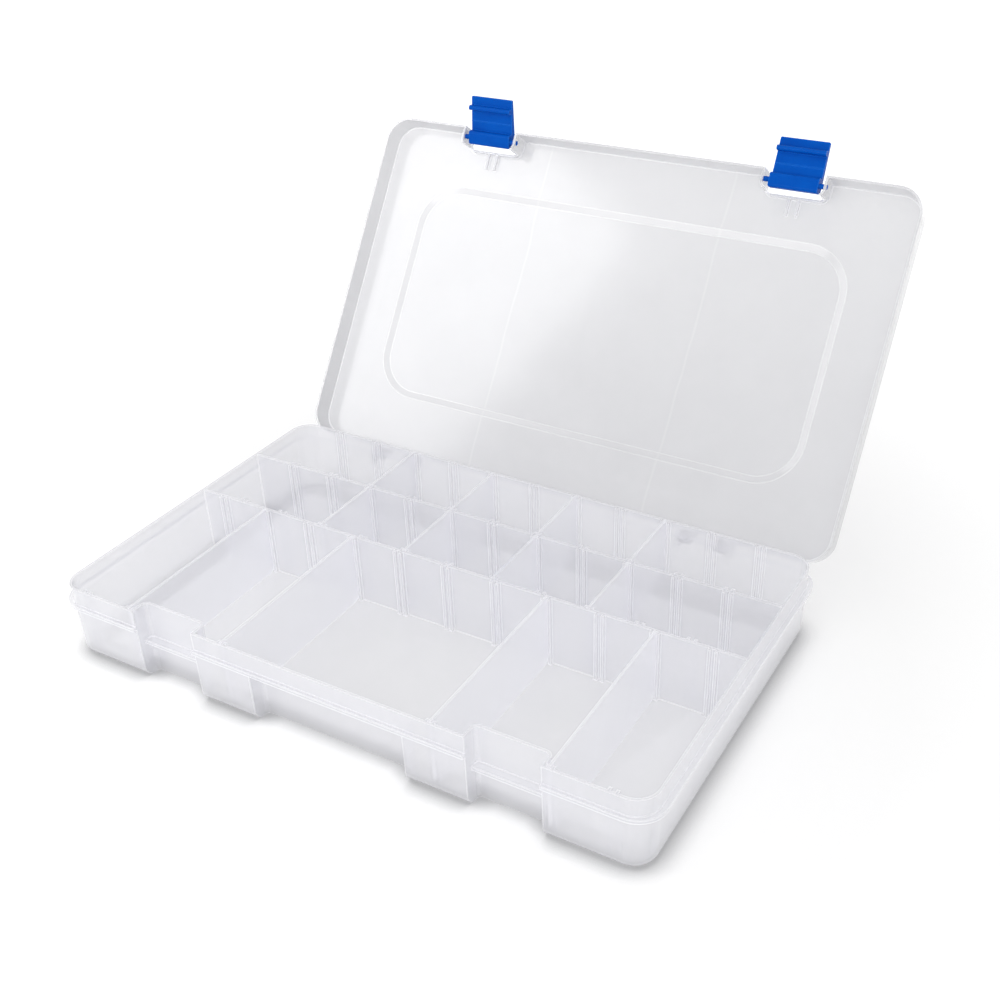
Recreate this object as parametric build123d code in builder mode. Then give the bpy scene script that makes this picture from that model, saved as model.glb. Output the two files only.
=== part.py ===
"""Clear compartment box: tray, hinged lid, two snap latches and twelve lift-out dividers, lid open.

Millimetres, +Z up, origin under the middle of the tray. The lid and the latches are drawn as they lie
on the closed box and are placed by planes turned about their hinge axes, so one angle opens each of them.
"""

from build123d import *
import os
from math import cos, radians, sin

# Tray: size over the outside of the rim, and how far each side leans in towards the floor
tray_width = 348.4
tray_depth = 210.4
tray_height = 44.3
side_draft = 0.5
end_draft = 0.6
rim_corner = 12.5
foot_radius = 6.4
wall = 1.2
floor = 1.8

# Rows: the back and middle rows take the short dividers, the front row the long ones
back_row = 47.6
middle_row = 48.8
rail = 1.5
short_pitch = 28.7
short_seats = (-3, -1, 1, 3)
long_seats = (-4, -2, 2, 4)

# Slots that hold the dividers, and the dividers themselves
slot = 2.1
slot_rib = 1.7
slot_reach = 2.0
divider = 1.4
divider_play = 0.35
divider_lift = 0.08
divider_rise = 0.6
divider_corner = 5.7
slot_margin = 2.3
side_margin = 12.0

# Recesses in the front wall: one for each latch, and a wide one between the two inner feet
latch_offset = 101.5
recess_width = 39.8
recess_depth = 9.5
recess_corner = 2.4
foot_length = 35.5
brow_drop = 2.4

# Flange round the tray that the lid comes down on
flange_drop = 10.1
flange = 2.2
lid_gap = 0.1

# Lid: a shallow tray upside down, with a raised panel and low strips on its top
lid_wall = 1.3
lid_plate = 1.5
lid_height = 14.7
lid_side_gap = 1.9
lid_end_gap = 0.7
lid_side_draft = 0.4
lid_end_draft = 0.3
lid_corner = 15.5
panel_rise = 1.5
panel_width = 292.0
panel_depth = 143.0
panel_corner = 29.0
panel_slope = 4.2
strip_rise = 0.7
side_strip = 7.5
side_strip_length = 109.0
side_strip_inset = 15.2
side_strip_shift = 20.5
front_strip = 7.7
front_strip_length = 104.0
front_strip_inset = 19.5
rear_strip = 13.0
rear_strip_length = 298.0
rear_strip_inset = 12.5

# Notch in the front of the lid for each latch
notch_play = 0.4
notch_depth = 11.8
notch_corner = 4.0
notch_clear = 0.5
prop = 1.2
prop_spread = 6.0
prop_length = 10.0
prop_rise = 2.4

# Lid hinge: pin bars on the tray, open hooks on the lid
open_angle = 124.0
hinge_back = 3.2
hinge_drop = 1.9
hinge_offset = 107.0
hinge_pin = 1.8
hinge_fit = 0.06
hook_rim = 1.85
hook = 6.0
hook_spread = 21.0
hook_mouth = 2.7
hook_arm = 7.4
ear = 3.0
ear_gap = 0.5
ear_slim = 0.1
ear_foot = 8.0
stop_reach = 6.6
stop_gap = 0.06

# Latches: sizes across the pins, each piece placed by its distance from the pins' middle
latch_width = 29.6
latch_back = 6.0
latch_rise = 3.0
latch_face = 2.3
latch_block = 7.9
latch_block_height = 8.6
latch_round = 1.8
latch_heel = 3.8
plate_face = 1.8
plate_root = 3.6
plate_tip = 1.3
latch_length = 25.3
latch_corner = 0.8
line_drop = 10.1
line_width = 0.8
line_rise = 0.25
latch_pin = 1.5
latch_fit = 0.05
latch_pin_gap = 0.1
ridge_drop = 18.5
ridge_radius = 1.5
ridge_reach = 3.8
catch = 2.2
catch_gap = 0.2
catch_overlap = 1.5
right_latch_open = 85.0
left_latch_open = 60.0

# How far joined pieces of one part reach into each other
embed = 0.3

# Derived sizes of the tray
half_width = tray_width / 2
half_depth = tray_depth / 2
inner_half_width = half_width - wall
inner_half_depth = half_depth - wall
flange_top = tray_height - flange_drop
recess_y = -half_depth + recess_depth
brow_z = flange_top - brow_drop
inner_foot = latch_offset - recess_width / 2
middle_half = inner_foot - foot_length
rail_1_y = inner_half_depth - back_row
rail_2_y = rail_1_y - middle_row
long_pitch = (latch_offset + recess_width / 2 + wall + slot_margin) / 4
short_count = int((inner_half_width - side_margin) // short_pitch)
long_count = int((inner_half_width - side_margin) // long_pitch)
short_slots = [n * short_pitch for n in range(-short_count, short_count + 1)]
long_slots = [n * long_pitch for n in range(-long_count, long_count + 1)]
outer_foot = latch_offset + recess_width / 2
foot_slots = [x for x in long_slots if middle_half < abs(x) < inner_foot or abs(x) > outer_foot]

# Derived sizes of the lid as it lies on the closed box
lid_z = flange_top + lid_gap
lid_half_width = half_width + lid_side_gap + lid_wall
lid_half_depth = half_depth + lid_end_gap + lid_wall
lid_top = lid_z + lid_height
notch_width = recess_width - 2 * (notch_play + lid_wall)
notch_y = -lid_half_depth + notch_depth
hinge_y = lid_half_depth + hinge_back
hinge_z = lid_z - hinge_drop
hook_radius = hinge_pin + hinge_fit + hook_rim
corner_radius = (hinge_back**2 + hinge_drop**2) ** 0.5

# Derived sizes of the latches and the catch they hold
latch_y = -lid_half_depth + latch_back
latch_z = lid_z + latch_rise
ridge_y = ridge_reach - plate_face
catch_bottom = latch_z - ridge_drop + ridge_radius + catch_gap
catch_y = latch_y + ridge_y - catch_overlap


def wall_y(z):
    """Half depth of the tray's inside at a height."""
    return inner_half_depth - end_draft * (tray_height - z) / tray_height


def side_x(z):
    """Half width of the tray's inside at a height."""
    return inner_half_width - side_draft * (tray_height - z) / tray_height


def along(y):
    """A plane along X, upright, at a depth."""
    return Plane(origin=(0, y, 0), x_dir=(1, 0, 0), z_dir=(0, -1, 0))


def wall_rib(side):
    """Outline of a slot rib on the leaning back (1) or front (-1) wall."""
    foot = floor - embed
    return [
        (side * (wall_y(foot) + embed), foot),
        (side * (wall_y(foot) - slot_reach), foot),
        (side * (wall_y(tray_height) - slot_reach), tray_height),
        (side * (wall_y(tray_height) + embed), tray_height),
    ]


def cross(x, turn=0.0, y=0.0, z=0.0):
    """A plane across X whose own axes are Y and Z turned about X."""
    a = radians(turn)
    return Plane(origin=(x, y, z), x_dir=(0, cos(a), sin(a)), z_dir=(1, 0, 0))


def facing(x, turn, y, z):
    """A plane along X whose normal is -Y turned about X, to draw a piece as seen from the front."""
    a = radians(turn)
    return Plane(origin=(x, y, z), x_dir=(1, 0, 0), z_dir=(0, -cos(a), -sin(a)))


def on_open_lid(y, z):
    """Where a point of the closed lid lies once the lid is open."""
    a = radians(-open_angle)
    dy = y - hinge_y
    dz = z - hinge_z
    return hinge_y + dy * cos(a) - dz * sin(a), hinge_z + dy * sin(a) + dz * cos(a)


def lid_level(height):
    """A plane along the open lid, at a height of the closed one."""
    a = radians(open_angle)
    base = Plane(origin=(0, hinge_y, hinge_z), x_dir=(1, 0, 0), z_dir=(0, sin(a), cos(a)))
    return base.offset(height - hinge_z)


def slot_pairs(slots):
    """Middles of the ribs on both sides of each slot."""
    return [x + side * (slot + slot_rib) / 2 for x in slots for side in (-1, 1)]


latch_axis = on_open_lid(latch_y, latch_z)
rib_middle = (rail / 2 + slot_reach) / 2
ear_x = (hook_spread + hook) / 2 + ear_gap
side_strip_x = lid_half_width - side_strip_inset
latch_middles = (-latch_offset, latch_offset)
hinge_middles = (-hinge_offset, hinge_offset)
hook_middles = [x + side * hook_spread / 2 for x in hinge_middles for side in (-1, 1)]

# The ears stop the lid: their upper edge lies along the back of the open lid
ear_low = hinge_z - ear_foot
stop_far = on_open_lid(lid_half_depth + stop_gap, hinge_z + stop_reach)
stop_near = on_open_lid(lid_half_depth + stop_gap, hinge_z + hinge_drop - 4 * ear_slim)
ear_outline = [
    (wall_y(ear_low) + wall / 2, ear_low),
    (hinge_y + hinge_pin, ear_low + hinge_pin),
    (stop_far[0], stop_far[1] - ear),
    stop_far,
    stop_near,
    (lid_half_depth - 2 * embed, flange_top),
    (wall_y(flange_top) + wall / 2, flange_top),
]
plate_outline = [
    (-plate_face, 0),
    (-plate_face - plate_root, 0),
    (-plate_face - plate_root, -latch_block_height / 2),
    (-plate_face - plate_tip, -latch_length),
    (-plate_face, -latch_length),
    (-plate_face, -line_drop - line_width / 2),
    (-plate_face + line_rise, -line_drop),
    (-plate_face, -line_drop + line_width / 2),
]
hook_arm_outline = [
    (0, 0),
    (-hinge_back - lid_wall + embed, hinge_drop + lid_wall),
    (-hinge_back - lid_wall + embed, hinge_drop + hook_arm),
    (-hinge_back + embed, hinge_drop + hook_arm),
    (hook_radius * cos(radians(38)), hook_radius * sin(radians(38))),
]


def leaning_box(low, inset, corner, foot):
    """The form between the tray's leaning walls, from a height up, with its corners and foot rounded."""
    low_x = side_x(low) + wall - inset
    low_y = wall_y(low) + wall - inset
    top_x = half_width - inset
    top_y = half_depth - inset
    with BuildPart() as form:
        with BuildSketch(along(0)):
            Polygon((-low_x, low), (low_x, low), (top_x, tray_height), (-top_x, tray_height), align=None)
        extrude(amount=half_depth, both=True)
        with BuildSketch(cross(0)):
            Polygon((-low_y, low), (low_y, low), (top_y, tray_height), (-top_y, tray_height), align=None)
        extrude(amount=half_width, both=True, mode=Mode.INTERSECT)
        fillet(form.edges().filter_by(lambda edge: edge.tangent_at(0.5).Z**2 > 0.5), radius=corner)
        fillet(form.faces().sort_by(Axis.Z)[0].edges(), radius=foot)
    return form.part


# The space inside the tray, which steps in behind each recess of the front wall
with BuildPart() as tray_space:
    add(leaning_box(floor, wall, rim_corner - wall, foot_radius - wall / 2))
    with BuildSketch(Plane.XY):
        with Locations(*[(x, recess_y + wall - tray_depth / 4) for x in latch_middles]):
            RectangleRounded(recess_width + 2 * wall, tray_depth / 2, recess_corner + wall)
    extrude(amount=tray_height + 1, mode=Mode.SUBTRACT)
    with BuildSketch(Plane.XY):
        with Locations((0, recess_y + wall - tray_depth / 4)):
            RectangleRounded(2 * (middle_half + wall), tray_depth / 2, recess_corner + wall)
    extrude(amount=brow_z + wall, mode=Mode.SUBTRACT)

# Rails between the rows and all the slot ribs, reaching a little way into the walls and the floor
with BuildPart() as rails:
    with BuildSketch(Plane.XY.offset(floor - embed)):
        with Locations((0, rail_1_y), (0, rail_2_y)):
            Rectangle(tray_width, rail)
        with Locations(*[(x, rail_1_y) for x in slot_pairs(short_slots)]):
            Rectangle(slot_rib, rail + 2 * slot_reach)
        with Locations(*[(x, rail_2_y + rib_middle) for x in slot_pairs(short_slots)]):
            Rectangle(slot_rib, rail / 2 + slot_reach)
        with Locations(*[(x, rail_2_y - rib_middle) for x in slot_pairs(long_slots)]):
            Rectangle(slot_rib, rail / 2 + slot_reach)
    extrude(amount=tray_height - floor + embed)
    with BuildSketch(*[cross(x) for x in slot_pairs(short_slots)]):
        Polygon(*wall_rib(1), align=None)
    extrude(amount=slot_rib / 2, both=True)
    with BuildSketch(*[cross(x) for x in slot_pairs(foot_slots)]):
        Polygon(*wall_rib(-1), align=None)
    extrude(amount=slot_rib / 2, both=True)
    rounded_inset = leaning_box(floor - embed, wall / 2, rim_corner - wall / 2, foot_radius - embed)
    add(rounded_inset, mode=Mode.INTERSECT)

with BuildPart() as base_tray:
    add(leaning_box(0, 0, rim_corner, foot_radius))
    with BuildSketch(Plane.XY.offset(flange_top - flange)):
        RectangleRounded(2 * lid_half_width, 2 * lid_half_depth, lid_corner)
    extrude(amount=flange)
    with BuildSketch(Plane.XY.offset(-1)):
        with Locations(*[(x, recess_y - tray_depth / 4) for x in latch_middles]):
            RectangleRounded(recess_width, tray_depth / 2, recess_corner)
    extrude(amount=tray_height + 2, mode=Mode.SUBTRACT)
    with BuildSketch(Plane.XY.offset(-1)):
        with Locations((0, recess_y - tray_depth / 4)):
            RectangleRounded(2 * middle_half, tray_depth / 2, recess_corner)
    extrude(amount=brow_z + 1, mode=Mode.SUBTRACT)
    add(tray_space.part, mode=Mode.SUBTRACT)
    add(rails.part)
    # ledges that the latches catch under
    with BuildSketch(Plane.XY.offset(catch_bottom)):
        with Locations(*[(x, (catch_y + recess_y + embed) / 2) for x in latch_middles]):
            Rectangle(recess_width + 2 * embed, recess_y + embed - catch_y)
    extrude(amount=catch)
    # hinge: a gap in the flange, two ears and a pin bar on each side
    with BuildSketch(Plane.XY.offset(flange_top - flange - embed)):
        with Locations(*[(x, (wall_y(flange_top) + wall + lid_half_depth + 1) / 2) for x in hinge_middles]):
            Rectangle(2 * ear_x, lid_half_depth + 1 - wall_y(flange_top) - wall)
    extrude(amount=flange + 2 * embed, mode=Mode.SUBTRACT)
    with BuildSketch(*[cross(x + side * (ear_x + ear / 2)) for x in hinge_middles for side in (-1, 1)]):
        Polygon(*ear_outline, align=None)
        with Locations((hinge_y, hinge_z)):
            Circle(corner_radius - ear_slim)
    extrude(amount=ear / 2, both=True)
    with BuildSketch(*[cross(x) for x in hinge_middles]):
        with Locations((hinge_y, hinge_z)):
            Circle(hinge_pin)
    extrude(amount=ear_x + embed, both=True)

# The space under the lid, which steps in round each latch notch
with BuildPart() as lid_space:
    with BuildSketch(lid_level(lid_z)):
        with Locations((0, -hinge_y)):
            RectangleRounded(
                2 * (lid_half_width - lid_wall), 2 * (lid_half_depth - lid_wall), lid_corner - lid_wall
            )
    with BuildSketch(lid_level(lid_top - lid_plate)):
        with Locations((0, -hinge_y)):
            RectangleRounded(
                2 * (lid_half_width - lid_wall - lid_side_draft),
                2 * (lid_half_depth - lid_wall - lid_end_draft),
                lid_corner - lid_wall,
            )
    loft()
    with BuildSketch(lid_level(lid_z - 1)):
        with Locations(*[(x, notch_y + lid_wall - tray_depth / 4 - hinge_y) for x in latch_middles]):
            RectangleRounded(notch_width + 2 * lid_wall, tray_depth / 2, notch_corner + lid_wall)
    extrude(amount=lid_height + 2, mode=Mode.SUBTRACT)

with BuildPart() as lid:
    with BuildSketch(lid_level(lid_z)):
        with Locations((0, -hinge_y)):
            RectangleRounded(2 * lid_half_width, 2 * lid_half_depth, lid_corner)
    with BuildSketch(lid_level(lid_top)):
        with Locations((0, -hinge_y)):
            RectangleRounded(
                2 * (lid_half_width - lid_side_draft), 2 * (lid_half_depth - lid_end_draft), lid_corner
            )
    loft()
    # strips that stand up from the top
    with BuildSketch(lid_level(lid_top - embed)):
        with Locations(*[(x, side_strip_shift - hinge_y) for x in (-side_strip_x, side_strip_x)]):
            Rectangle(side_strip, side_strip_length)
        with Locations((0, front_strip_inset - lid_half_depth - hinge_y)):
            Rectangle(front_strip_length, front_strip)
        with Locations((0, lid_half_depth - rear_strip_inset - hinge_y)):
            Rectangle(rear_strip_length, rear_strip)
    extrude(amount=strip_rise + embed)
    # notches for the latches, then the space inside
    with BuildSketch(lid_level(lid_z - 1)):
        with Locations(*[(x, notch_y - tray_depth / 4 - hinge_y) for x in latch_middles]):
            RectangleRounded(notch_width, tray_depth / 2, notch_corner)
    extrude(amount=lid_height + 4, mode=Mode.SUBTRACT)
    add(lid_space.part, mode=Mode.SUBTRACT)
    # raised panel, hollow underneath
    with BuildSketch(lid_level(lid_top)):
        with Locations((0, -hinge_y)):
            RectangleRounded(panel_width, panel_depth, panel_corner)
    with BuildSketch(lid_level(lid_top + panel_rise)):
        with Locations((0, -hinge_y)):
            RectangleRounded(
                panel_width - 2 * panel_slope, panel_depth - 2 * panel_slope, panel_corner - panel_slope
            )
    loft()
    with BuildSketch(lid_level(lid_top - lid_plate)):
        with Locations((0, -hinge_y)):
            RectangleRounded(panel_width - lid_plate, panel_depth - lid_plate, panel_corner - lid_plate / 2)
    with BuildSketch(lid_level(lid_top - lid_plate + panel_rise)):
        with Locations((0, -hinge_y)):
            RectangleRounded(
                panel_width - lid_plate - 2 * panel_slope,
                panel_depth - lid_plate - 2 * panel_slope,
                panel_corner - lid_plate / 2 - panel_slope,
            )
    loft(mode=Mode.SUBTRACT)
    # the notch walls stop above the tray's rim where they cross it
    with BuildSketch(lid_level(lid_z - 1)):
        with Locations(*[(x, recess_y - notch_play + notch_corner - hinge_y) for x in latch_middles]):
            Rectangle(recess_width, 2 * notch_corner)
    extrude(amount=tray_height + notch_clear - lid_z + 1, mode=Mode.SUBTRACT)
    # props behind each notch
    with BuildSketch(lid_level(lid_top - lid_plate - prop_rise)):
        prop_y = notch_y + lid_wall - embed + prop_length / 2 - hinge_y
        with Locations(*[(x + side * prop_spread / 2, prop_y) for x in latch_middles for side in (-1, 1)]):
            Rectangle(prop, prop_length)
    extrude(amount=prop_rise + embed)
    # bores for the latch pins
    with BuildSketch(*[cross(x, -open_angle, *latch_axis) for x in latch_middles]):
        Circle(latch_pin + latch_fit)
    extrude(amount=recess_width / 2, both=True, mode=Mode.SUBTRACT)
    # hooks that clip over the pin bars
    with BuildSketch(*[cross(x, -open_angle, hinge_y, hinge_z) for x in hook_middles]):
        Circle(hook_radius)
        Polygon(*hook_arm_outline, align=None)
        Circle(hinge_pin + hinge_fit, mode=Mode.SUBTRACT)
        with Locations((0, -hook_radius)):
            Rectangle(hook_mouth, 2 * hook_radius, mode=Mode.SUBTRACT)
    extrude(amount=hook / 2, both=True)


def latch(x, opened):
    """One latch, turned on its pins by how far it stands open from the hanging position."""
    turn = -open_angle - opened
    with BuildPart() as made:
        with BuildSketch(cross(x, turn, *latch_axis)) as block:
            with Locations((latch_face - latch_block / 2, 0)):
                Rectangle(latch_block, latch_block_height)
            fillet(block.vertices().group_by(Axis.X)[0], radius=latch_heel)
            fillet(block.vertices().group_by(Axis.X)[-1], radius=latch_round)
        extrude(amount=latch_width / 2, both=True)
        with BuildSketch(cross(x, turn, *latch_axis)):
            Polygon(*plate_outline, align=None)
            with Locations((ridge_y - ridge_radius, -ridge_drop)):
                Circle(ridge_radius)
            with Locations(((ridge_y - ridge_radius - plate_face) / 2, -ridge_drop)):
                Rectangle(ridge_y - ridge_radius + plate_face, 2 * ridge_radius)
        extrude(amount=latch_width / 2, both=True)
        with BuildSketch(facing(x, turn, *latch_axis)):
            with Locations((0, (latch_block_height / 2 - latch_length) / 2)):
                RectangleRounded(latch_width, latch_block_height / 2 + latch_length, latch_corner)
        extrude(amount=latch_block, both=True, mode=Mode.INTERSECT)
        with BuildSketch(cross(x, turn, *latch_axis)):
            Circle(latch_pin)
        extrude(amount=notch_width / 2 + lid_wall - latch_pin_gap, both=True)
    return made.part


def divider_plate(x, low_near, low_far, high_near, high_far):
    """One divider standing across a row, between the given Y positions at its foot and at its top."""
    with BuildPart() as made:
        with BuildSketch(cross(x)) as outline:
            foot = floor + divider_lift
            head = tray_height + divider_rise
            Polygon((low_near, foot), (low_far, foot), (high_far, head), (high_near, head), align=None)
            fillet(outline.vertices().group_by(Axis.Y)[0], radius=divider_corner)
        extrude(amount=divider / 2, both=True)
    return made.part


parts = {"base_tray": base_tray.part, "lid": lid.part}
parts["left_latch"] = latch(-latch_offset, left_latch_open)
parts["right_latch"] = latch(latch_offset, right_latch_open)
wall_foot = wall_y(floor) - divider_play
wall_head = wall_y(tray_height + divider_rise) - divider_play
for number, seat in enumerate(short_seats, 1):
    near = rail_1_y + rail / 2 + divider_play
    parts[f"back_divider_{number}"] = divider_plate(seat * short_pitch, near, wall_foot, near, wall_head)
for number, seat in enumerate(short_seats, 1):
    near = rail_2_y + rail / 2 + divider_play
    far = rail_1_y - rail / 2 - divider_play
    parts[f"middle_divider_{number}"] = divider_plate(seat * short_pitch, near, far, near, far)
for number, seat in enumerate(long_seats, 1):
    far = rail_2_y - rail / 2 - divider_play
    parts[f"front_divider_{number}"] = divider_plate(seat * long_pitch, -wall_foot, far, -wall_head, far)

os.makedirs("parts", exist_ok=True)
for name, part in parts.items():
    part.label = name
    export_step(part, f"parts/{name}.step")
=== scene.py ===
"""Clear compartment box with blue latches, lid open, on a white studio floor."""

from math import cos, radians, sin

import bmesh
import bpy
from mathutils import Euler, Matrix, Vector

# Lengths are in metres. Levels of light, colour and density run from 0 to 1.

# Noise keeps mostly between these levels
NOISE_LOW, NOISE_HIGH = 0.3, 0.7

# Clear plastic: the shares of lamp light that a wall and the foot of the tray let through
WALL_PASS = 0.97
FOOT_PASS = 0.1
FOOT_BAND = 0.009
FOOT_REACH = {"X": 0.164, "Y": 0.09}

# Painted highlights on the moulded edges: how far they reach, how alike the rounded and true normals are
# where they start and end, and the clear plastic's highlight colour, also used for the lid's flow lines
EDGE_RADIUS = 0.0011
CLEAR_EDGE_START, CLEAR_EDGE_END = 0.996, 0.96
LATCH_EDGE_START, LATCH_EDGE_END = 0.985, 0.9
CLEAR_HIGHLIGHT_AND_FLOW_LINE_COLOR = (0.97, 0.97, 1)

# Slant at which a clear wall starts to look denser, and how dense it gets
SLANT_START = 0.45
SLANT_DENSITY = 0.95

# Lid: the way its panel faces when it stands open, and how strongly the low step's shading is drawn to that
LID_OPEN = radians(124)
PANEL_FACING = (0, sin(LID_OPEN), cos(LID_OPEN))
STEP_CALM = 4

# Lid: place, side-to-side sway, half width and strength of the flow lines
FLOW_LINE_X = 0.061
FLOW_SWAY = 0.008
FLOW_OUTSIDE, FLOW_INSIDE = 0.0011, 0.0002
FLOW_STRENGTH = 0.07

# Floor: reach of the painted contact shadow, its painted greys, and where the floor's own light starts and
# ends
CONTACT_REACH = 0.012
PAINTED_SHADE_UNDER_BOX = (0.85, 0.85, 0.85)
PAINTED_CONTACT_SHADE = (0.3, 0.3, 0.31)
CONTACT_AT, OPEN_AT = 0.3, 0.93
GLOW_START, GLOW_END = 0.25, 0.8
FLOOR_HALF = 6

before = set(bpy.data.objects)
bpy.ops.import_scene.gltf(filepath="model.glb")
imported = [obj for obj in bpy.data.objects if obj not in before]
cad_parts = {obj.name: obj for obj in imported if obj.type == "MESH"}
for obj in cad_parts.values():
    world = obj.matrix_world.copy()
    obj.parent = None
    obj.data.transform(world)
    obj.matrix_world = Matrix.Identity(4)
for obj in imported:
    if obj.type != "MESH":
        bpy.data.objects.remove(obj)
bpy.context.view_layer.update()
scene = bpy.context.scene
scene.view_settings.view_transform = "Standard"
scene.cycles.transparent_max_bounces = 32
scene.cycles.max_bounces = 20
scene.cycles.transmission_bounces = 20
scene.cycles.sample_clamp_indirect = 4
scene.cycles.caustics_refractive = False
scene.cycles.caustics_reflective = False


def new_material(name):
    """An empty node material with its output, ready for a finish."""
    material = bpy.data.materials.new(name)
    material.use_nodes = True
    tree = material.node_tree
    tree.nodes.clear()
    return material, tree, tree.nodes.new("ShaderNodeOutputMaterial")


def feed(tree, socket, value):
    """Links the socket to another node's output, or writes a plain value on it."""
    if isinstance(value, bpy.types.NodeSocket):
        tree.links.new(value, socket)
    else:
        socket.default_value = value


def calculated(tree, operation, *terms):
    """The result of one calculation on numbers or on other nodes' outputs."""
    made = tree.nodes.new("ShaderNodeMath")
    made.operation = operation
    for socket, term in zip(made.inputs, terms):
        feed(tree, socket, term)
    return made.outputs["Value"]


def vector_calculated(tree, operation, *terms):
    """The same on directions or places, with both results: a Vector and a Value."""
    made = tree.nodes.new("ShaderNodeVectorMath")
    made.operation = operation
    for socket, term in zip(made.inputs, terms):
        feed(tree, socket, term)
    return made.outputs


def ranged(tree, value, start, end, low, high):
    """The value on a slope that is low at start and high at end, and level beyond them."""
    made = tree.nodes.new("ShaderNodeMapRange")
    feed(tree, made.inputs["From Min"], start)
    feed(tree, made.inputs["From Max"], end)
    feed(tree, made.inputs["To Min"], low)
    feed(tree, made.inputs["To Max"], high)
    feed(tree, made.inputs["Value"], value)
    return made.outputs["Result"]


def piece_place(tree):
    """The place on the piece, in its own coordinates."""
    return tree.nodes.new("ShaderNodeTexCoord").outputs["Object"]


def split_place(tree):
    """The same place, as separate X, Y and Z."""
    parted = tree.nodes.new("ShaderNodeSeparateXYZ")
    feed(tree, parted.inputs["Vector"], piece_place(tree))
    return parted.outputs


def object_noise(tree, scale, detail, stretch=(1, 1, 1)):
    """Noise on the piece's own coordinates, stretched along chosen axes."""
    mapping = tree.nodes.new("ShaderNodeMapping")
    mapping.inputs["Scale"].default_value = stretch
    feed(tree, mapping.inputs["Vector"], piece_place(tree))
    noise = tree.nodes.new("ShaderNodeTexNoise")
    noise.inputs["Scale"].default_value = scale
    noise.inputs["Detail"].default_value = detail
    feed(tree, noise.inputs["Vector"], mapping.outputs["Vector"])
    return noise.outputs["Fac"]


def ramp(tree, value, low, high, low_at=NOISE_LOW, high_at=NOISE_HIGH):
    """A colour that runs from low to high as the value does."""
    made = tree.nodes.new("ShaderNodeValToRGB")
    first, last = made.color_ramp.elements
    first.position = low_at
    first.color = (*low, 1)
    last.position = high_at
    last.color = (*high, 1)
    feed(tree, made.inputs["Fac"], value)
    return made.outputs["Color"]


def near_foot(tree):
    """One on the lowest band of the tray's outer walls, and nought elsewhere."""
    place = split_place(tree)
    beyond = []
    for axis, reach in FOOT_REACH.items():
        beyond.append(calculated(tree, "GREATER_THAN", calculated(tree, "ABSOLUTE", place[axis]), reach))
    outer = calculated(tree, "MAXIMUM", *beyond)
    low = calculated(tree, "LESS_THAN", place["Z"], FOOT_BAND)
    return calculated(tree, "MULTIPLY", outer, low)


def edge_highlight_mask(tree, most, start, end):
    """The most along the moulded edges and inner corners, where highlights are painted, and nought on the
    open faces.
    """
    rounded = tree.nodes.new("ShaderNodeBevel")
    rounded.samples = 3
    rounded.inputs["Radius"].default_value = EDGE_RADIUS
    surface = tree.nodes.new("ShaderNodeNewGeometry")
    likeness = vector_calculated(tree, "DOT_PRODUCT", rounded.outputs["Normal"], surface.outputs["Normal"])
    return ranged(tree, calculated(tree, "ABSOLUTE", likeness["Value"]), start, end, 0, most)


def with_highlights_and_lines(tree, edges, face, highlight_and_line_colour):
    """The colour of the face, and a painted highlight colour where the mask is high: on moulded edges, and
    on the lid also its flow lines.
    """
    mixed = tree.nodes.new("ShaderNodeMix")
    mixed.data_type = "RGBA"
    feed(tree, mixed.inputs["Factor"], edges)
    feed(tree, mixed.inputs["A"], face)
    feed(tree, mixed.inputs["B"], (*highlight_and_line_colour, 1))
    return mixed.outputs["Result"]


def flow_lines(tree):
    """A low level on two fine wavy lines that run front to back, where the melt met in the mould."""
    wander = object_noise(tree, scale=14, detail=2)
    sway = calculated(tree, "MULTIPLY_ADD", wander, FLOW_SWAY, -FLOW_SWAY / 2)
    across = calculated(tree, "ABSOLUTE", calculated(tree, "ADD", split_place(tree)["X"], sway))
    distance = calculated(tree, "ABSOLUTE", calculated(tree, "SUBTRACT", across, FLOW_LINE_X))
    return ranged(tree, distance, FLOW_OUTSIDE, FLOW_INSIDE, 0, FLOW_STRENGTH)


def calmed_normal(tree):
    """The lid's normal, turned most of the way to its panel's, so that the low step shades softly."""
    own_normal = tree.nodes.new("ShaderNodeTexCoord").outputs["Normal"]
    likeness = vector_calculated(tree, "DOT_PRODUCT", own_normal, PANEL_FACING)
    pull = [STEP_CALM * part for part in PANEL_FACING]
    drawn = vector_calculated(tree, "MULTIPLY_ADD", pull, likeness["Value"], own_normal)
    turned = tree.nodes.new("ShaderNodeVectorTransform")
    turned.vector_type = "NORMAL"
    turned.convert_from = "OBJECT"
    turned.convert_to = "WORLD"
    feed(tree, turned.inputs["Vector"], drawn["Vector"])
    return turned.outputs["Vector"]


def uneven_skin(tree, height, strength, distance):
    """A bump node for the slightly uneven skin that a mould leaves."""
    bump = tree.nodes.new("ShaderNodeBump")
    bump.inputs["Strength"].default_value = strength
    bump.inputs["Distance"].default_value = distance
    feed(tree, bump.inputs["Height"], height)
    return bump


def lamps_pass(tree, shader):
    """The shader as it is seen, with most lamp light let through it, but little at the tray's foot."""
    through = tree.nodes.new("ShaderNodeBsdfTransparent")
    shares = ramp(tree, near_foot(tree), (WALL_PASS,) * 3, (FOOT_PASS,) * 3, 0, 1)
    feed(tree, through.inputs["Color"], shares)
    path = tree.nodes.new("ShaderNodeLightPath")
    mix = tree.nodes.new("ShaderNodeMixShader")
    feed(tree, mix.inputs["Fac"], path.outputs["Is Shadow Ray"])
    feed(tree, mix.inputs[1], shader)
    feed(tree, mix.inputs[2], through.outputs["BSDF"])
    return mix.outputs["Shader"]


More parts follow.
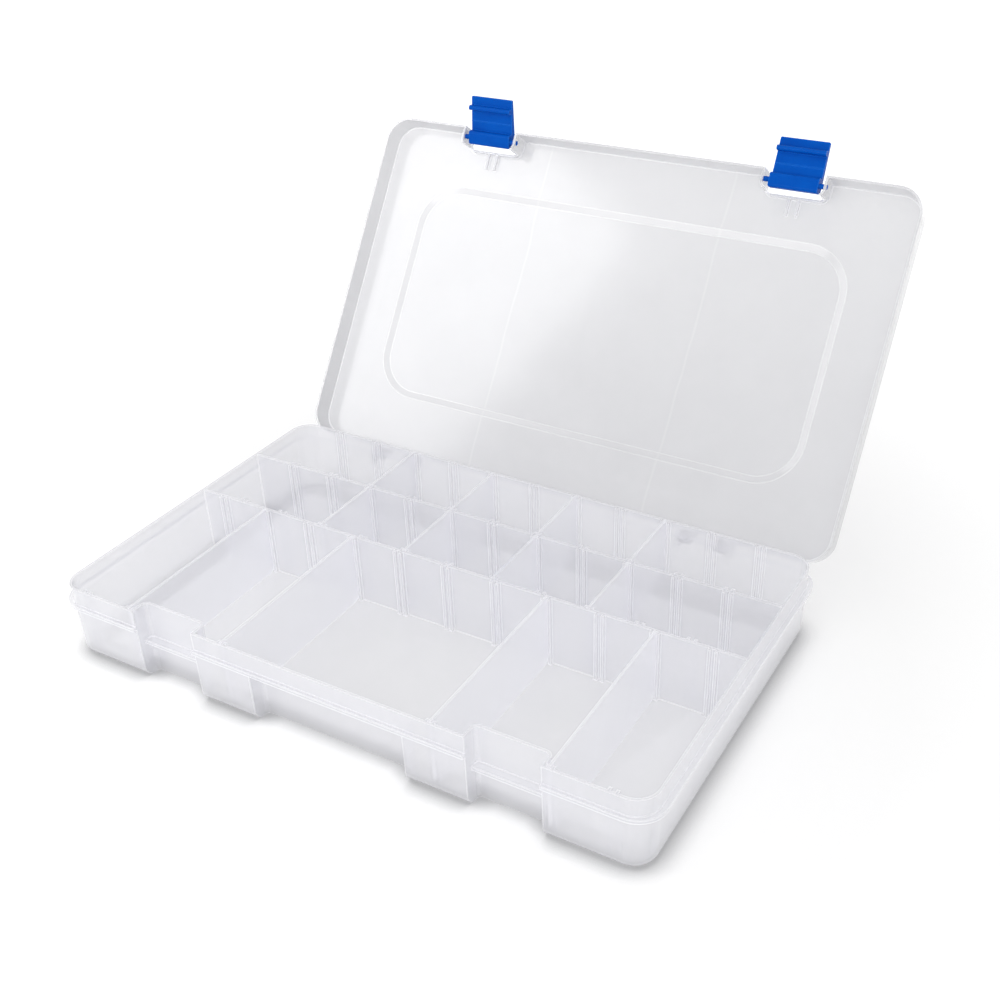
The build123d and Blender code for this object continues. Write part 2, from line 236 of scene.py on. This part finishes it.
def milky_plastic(name, body, edge_body, pale, deep, rough, is_lid=False):
    """Moulded polypropylene: see-through with a milky cast, denser where seen at a slant, paler and denser
    along edges where highlights are painted, and along the lid's flow lines.
    """
    material, tree, out = new_material(name)
    plastic = tree.nodes.new("ShaderNodeBsdfPrincipled")
    plastic.inputs["IOR"].default_value = 1.49
    plastic.inputs["Specular IOR Level"].default_value = 1.0
    plastic.inputs["Coat Weight"].default_value = 1.0
    plastic.inputs["Coat IOR"].default_value = 1.6
    plastic.inputs["Coat Roughness"].default_value = 0.12
    edges = edge_highlight_mask(tree, 1, CLEAR_EDGE_START, CLEAR_EDGE_END)
    skin = object_noise(tree, scale=60, detail=3, stretch=(1, 1.6, 1))
    bump = uneven_skin(tree, skin, strength=0.25, distance=0.0003)
    if is_lid:
        edges = calculated(tree, "MAXIMUM", edges, flow_lines(tree))
        feed(tree, bump.inputs["Normal"], calmed_normal(tree))
    cloudy = ramp(tree, object_noise(tree, scale=22, detail=4), deep, pale)
    grain = object_noise(tree, scale=160, detail=3)
    finish = ranged(tree, grain, NOISE_LOW, NOISE_HIGH, rough * 0.7, rough * 1.4)
    slant = tree.nodes.new("ShaderNodeLayerWeight").outputs["Facing"]
    wall = ranged(tree, slant, SLANT_START, 1, body, SLANT_DENSITY)
    # Painted highlights: whitish colour and a denser wall along the moulded edges; on the lid the flow lines
    # get the same.
    feed(tree, plastic.inputs["Base Color"], with_highlights_and_lines(tree, edges, cloudy, CLEAR_HIGHLIGHT_AND_FLOW_LINE_COLOR))
    feed(tree, plastic.inputs["Roughness"], finish)
    feed(tree, plastic.inputs["Normal"], bump.outputs["Normal"])
    feed(tree, plastic.inputs["Alpha"], ranged(tree, edges, 0, 1, wall, edge_body))
    feed(tree, out.inputs["Surface"], lamps_pass(tree, plastic.outputs["BSDF"]))
    return material


def blue_plastic():
    """Solid blue moulded plastic of the latches, with a soft gloss, faint clouding and a painted highlight
    of lighter blue along the edges.
    """
    material, tree, out = new_material("blue_latch_plastic")
    plastic = tree.nodes.new("ShaderNodeBsdfPrincipled")
    plastic.inputs["Specular IOR Level"].default_value = 0.05
    edges = edge_highlight_mask(tree, 0.6, LATCH_EDGE_START, LATCH_EDGE_END)
    clouds = object_noise(tree, scale=90, detail=4, stretch=(0.4, 1, 1))
    cloudy = ramp(tree, clouds, (0.0, 0.072, 0.44), (0.0, 0.1, 0.52))
    grain = object_noise(tree, scale=400, detail=3)
    bump = uneven_skin(tree, grain, strength=0.2, distance=0.0002)
    # Painted highlight: the lighter blue along the edges stands in for light catching the ridge and block
    # edges.
    feed(tree, plastic.inputs["Base Color"], with_highlights_and_lines(tree, edges, cloudy, (0.02, 0.2, 0.75)))
    feed(tree, plastic.inputs["Roughness"], ranged(tree, grain, NOISE_LOW, NOISE_HIGH, 0.24, 0.4))
    feed(tree, plastic.inputs["Normal"], bump.outputs["Normal"])
    feed(tree, out.inputs["Surface"], plastic.outputs["BSDF"])
    return material


# The tray, lid and dividers are one clear plastic; their greys differ partly as painted light: the dividers'
# paler grey stands in for the light they catch, the lid's darker grey tones down the reflections on it.
finishes = {
    "clear_tray": milky_plastic(
        "tray_plastic",
        body=0.37,
        edge_body=0.58,
        pale=(0.84, 0.84, 0.875),
        deep=(0.81, 0.81, 0.845),
        rough=0.12,
    ),
    "clear_lid": milky_plastic(
        "lid_plastic",
        body=0.5,
        edge_body=0.68,
        pale=(0.65, 0.65, 0.675),
        deep=(0.62, 0.62, 0.645),
        rough=0.16,
        is_lid=True,
    ),
    "clear_divider": milky_plastic(
        "divider_plastic",
        body=0.38,
        edge_body=0.6,
        pale=(0.965, 0.965, 1.0),
        deep=(0.945, 0.945, 0.98),
        rough=0.12,
    ),
    "blue_latch": blue_plastic(),
}
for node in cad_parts.values():
    for slot in node.material_slots:
        slot.material = finishes[slot.material.name]


def any_seen_ray(tree):
    """One where the camera, gloss or clear plastic looks, and nought where only light arrives."""
    path = tree.nodes.new("ShaderNodeLightPath").outputs
    either = calculated(tree, "MAXIMUM", path["Is Camera Ray"], path["Is Glossy Ray"])
    return calculated(tree, "MAXIMUM", either, path["Is Transmission Ray"])


def studio_white(name, level, near_glow, far_glow):
    """A plain white that takes shadows, with a painted contact shadow that darkens it close to the object,
    and shows a little light of its own, more so far from the object.
    """
    material, tree, out = new_material(name)
    paper = tree.nodes.new("ShaderNodeBsdfDiffuse")
    # Painted contact shadow: the paper's colour follows ambient occlusion, dark grey close to the object and
    # a lighter grey under the box.
    nearness = tree.nodes.new("ShaderNodeAmbientOcclusion")
    nearness.inputs["Distance"].default_value = CONTACT_REACH
    nearness.samples = 8
    shade = tree.nodes.new("ShaderNodeValToRGB")
    under, contact = shade.color_ramp.elements
    under.color = (*PAINTED_SHADE_UNDER_BOX, 1)
    contact.position = CONTACT_AT
    contact.color = (*PAINTED_CONTACT_SHADE, 1)
    shade.color_ramp.elements.new(OPEN_AT).color = (level, level, level, 1)
    feed(tree, shade.inputs["Fac"], nearness.outputs["AO"])
    feed(tree, paper.inputs["Color"], shade.outputs["Color"])
    distance = vector_calculated(tree, "LENGTH", piece_place(tree))["Value"]
    reach = ranged(tree, distance, GLOW_START, GLOW_END, near_glow, far_glow)
    glow = tree.nodes.new("ShaderNodeEmission")
    feed(tree, glow.inputs["Strength"], calculated(tree, "MULTIPLY", any_seen_ray(tree), reach))
    add = tree.nodes.new("ShaderNodeAddShader")
    feed(tree, add.inputs[0], paper.outputs["BSDF"])
    feed(tree, add.inputs[1], glow.outputs["Emission"])
    feed(tree, out.inputs["Surface"], add.outputs["Shader"])
    return material


def white_world(seen_level, light_level):
    """White where it is seen or shows in gloss and glass, and a plain even light elsewhere."""
    world = bpy.data.worlds.new("studio_world")
    scene.world = world
    world.use_nodes = True
    tree = world.node_tree
    tree.nodes.clear()
    background = tree.nodes.new("ShaderNodeBackground")
    background.inputs["Color"].default_value = (1, 1, 1, 1)
    level = ranged(tree, any_seen_ray(tree), 0, 1, light_level, seen_level)
    feed(tree, background.inputs["Strength"], level)
    out = tree.nodes.new("ShaderNodeOutputWorld")
    feed(tree, out.inputs["Surface"], background.outputs["Background"])


def studio_floor():
    """The white sheet that the box stands on."""
    shape = bmesh.new()
    bmesh.ops.create_grid(shape, x_segments=1, y_segments=1, size=FLOOR_HALF)
    mesh = bpy.data.meshes.new("studio_floor")
    shape.to_mesh(mesh)
    shape.free()
    floor = bpy.data.objects.new("studio_floor", mesh)
    mesh.materials.append(studio_white("studio_paper", level=0.9, near_glow=0.18, far_glow=0.6))
    scene.collection.objects.link(floor)


def softbox(name, place, target, width, height, watts):
    """A rectangular soft lamp that looks at a point."""
    lamp = bpy.data.lights.new(name, "AREA")
    lamp.shape = "RECTANGLE"
    lamp.size = width
    lamp.size_y = height
    lamp.energy = watts
    holder = bpy.data.objects.new(name, lamp)
    holder.location = place
    holder.rotation_euler = (Vector(target) - Vector(place)).to_track_quat("-Z", "Y").to_euler()
    scene.collection.objects.link(holder)


def photo_camera():
    """The camera at the photograph's place, fitted to the tray, its rows and the lid."""
    camera = bpy.data.cameras.new("photo_camera")
    camera.sensor_width = 36
    camera.lens = 46.135
    camera.shift_x = -0.03427
    camera.shift_y = 0.01266
    camera.clip_start = 0.01
    viewer = bpy.data.objects.new("photo_camera", camera)
    viewer.location = (0.33101, -0.46636, 0.4347)
    viewer.rotation_euler = Euler([radians(angle) for angle in (58.1168, 1.1076, 29.4761)])
    scene.collection.objects.link(viewer)
    scene.camera = viewer


white_world(seen_level=1.0, light_level=0.64)
studio_floor()
softbox("key_softbox", (-0.72, -0.41, 0.68), (-0.08, 0.15, 0.12), width=0.5, height=0.56, watts=1.9)
softbox("front_softbox", (-0.3, -1.35, 0.5), (0, 0, 0.03), width=1.0, height=0.6, watts=4.8)
softbox("right_softbox", (1.3, -0.6, 0.5), (0, 0, 0.03), width=0.8, height=0.6, watts=4)
softbox("top_softbox", (0.1, 0.0, 1.9), (0, 0, 0), width=1.4, height=1.2, watts=2.5)
photo_camera()
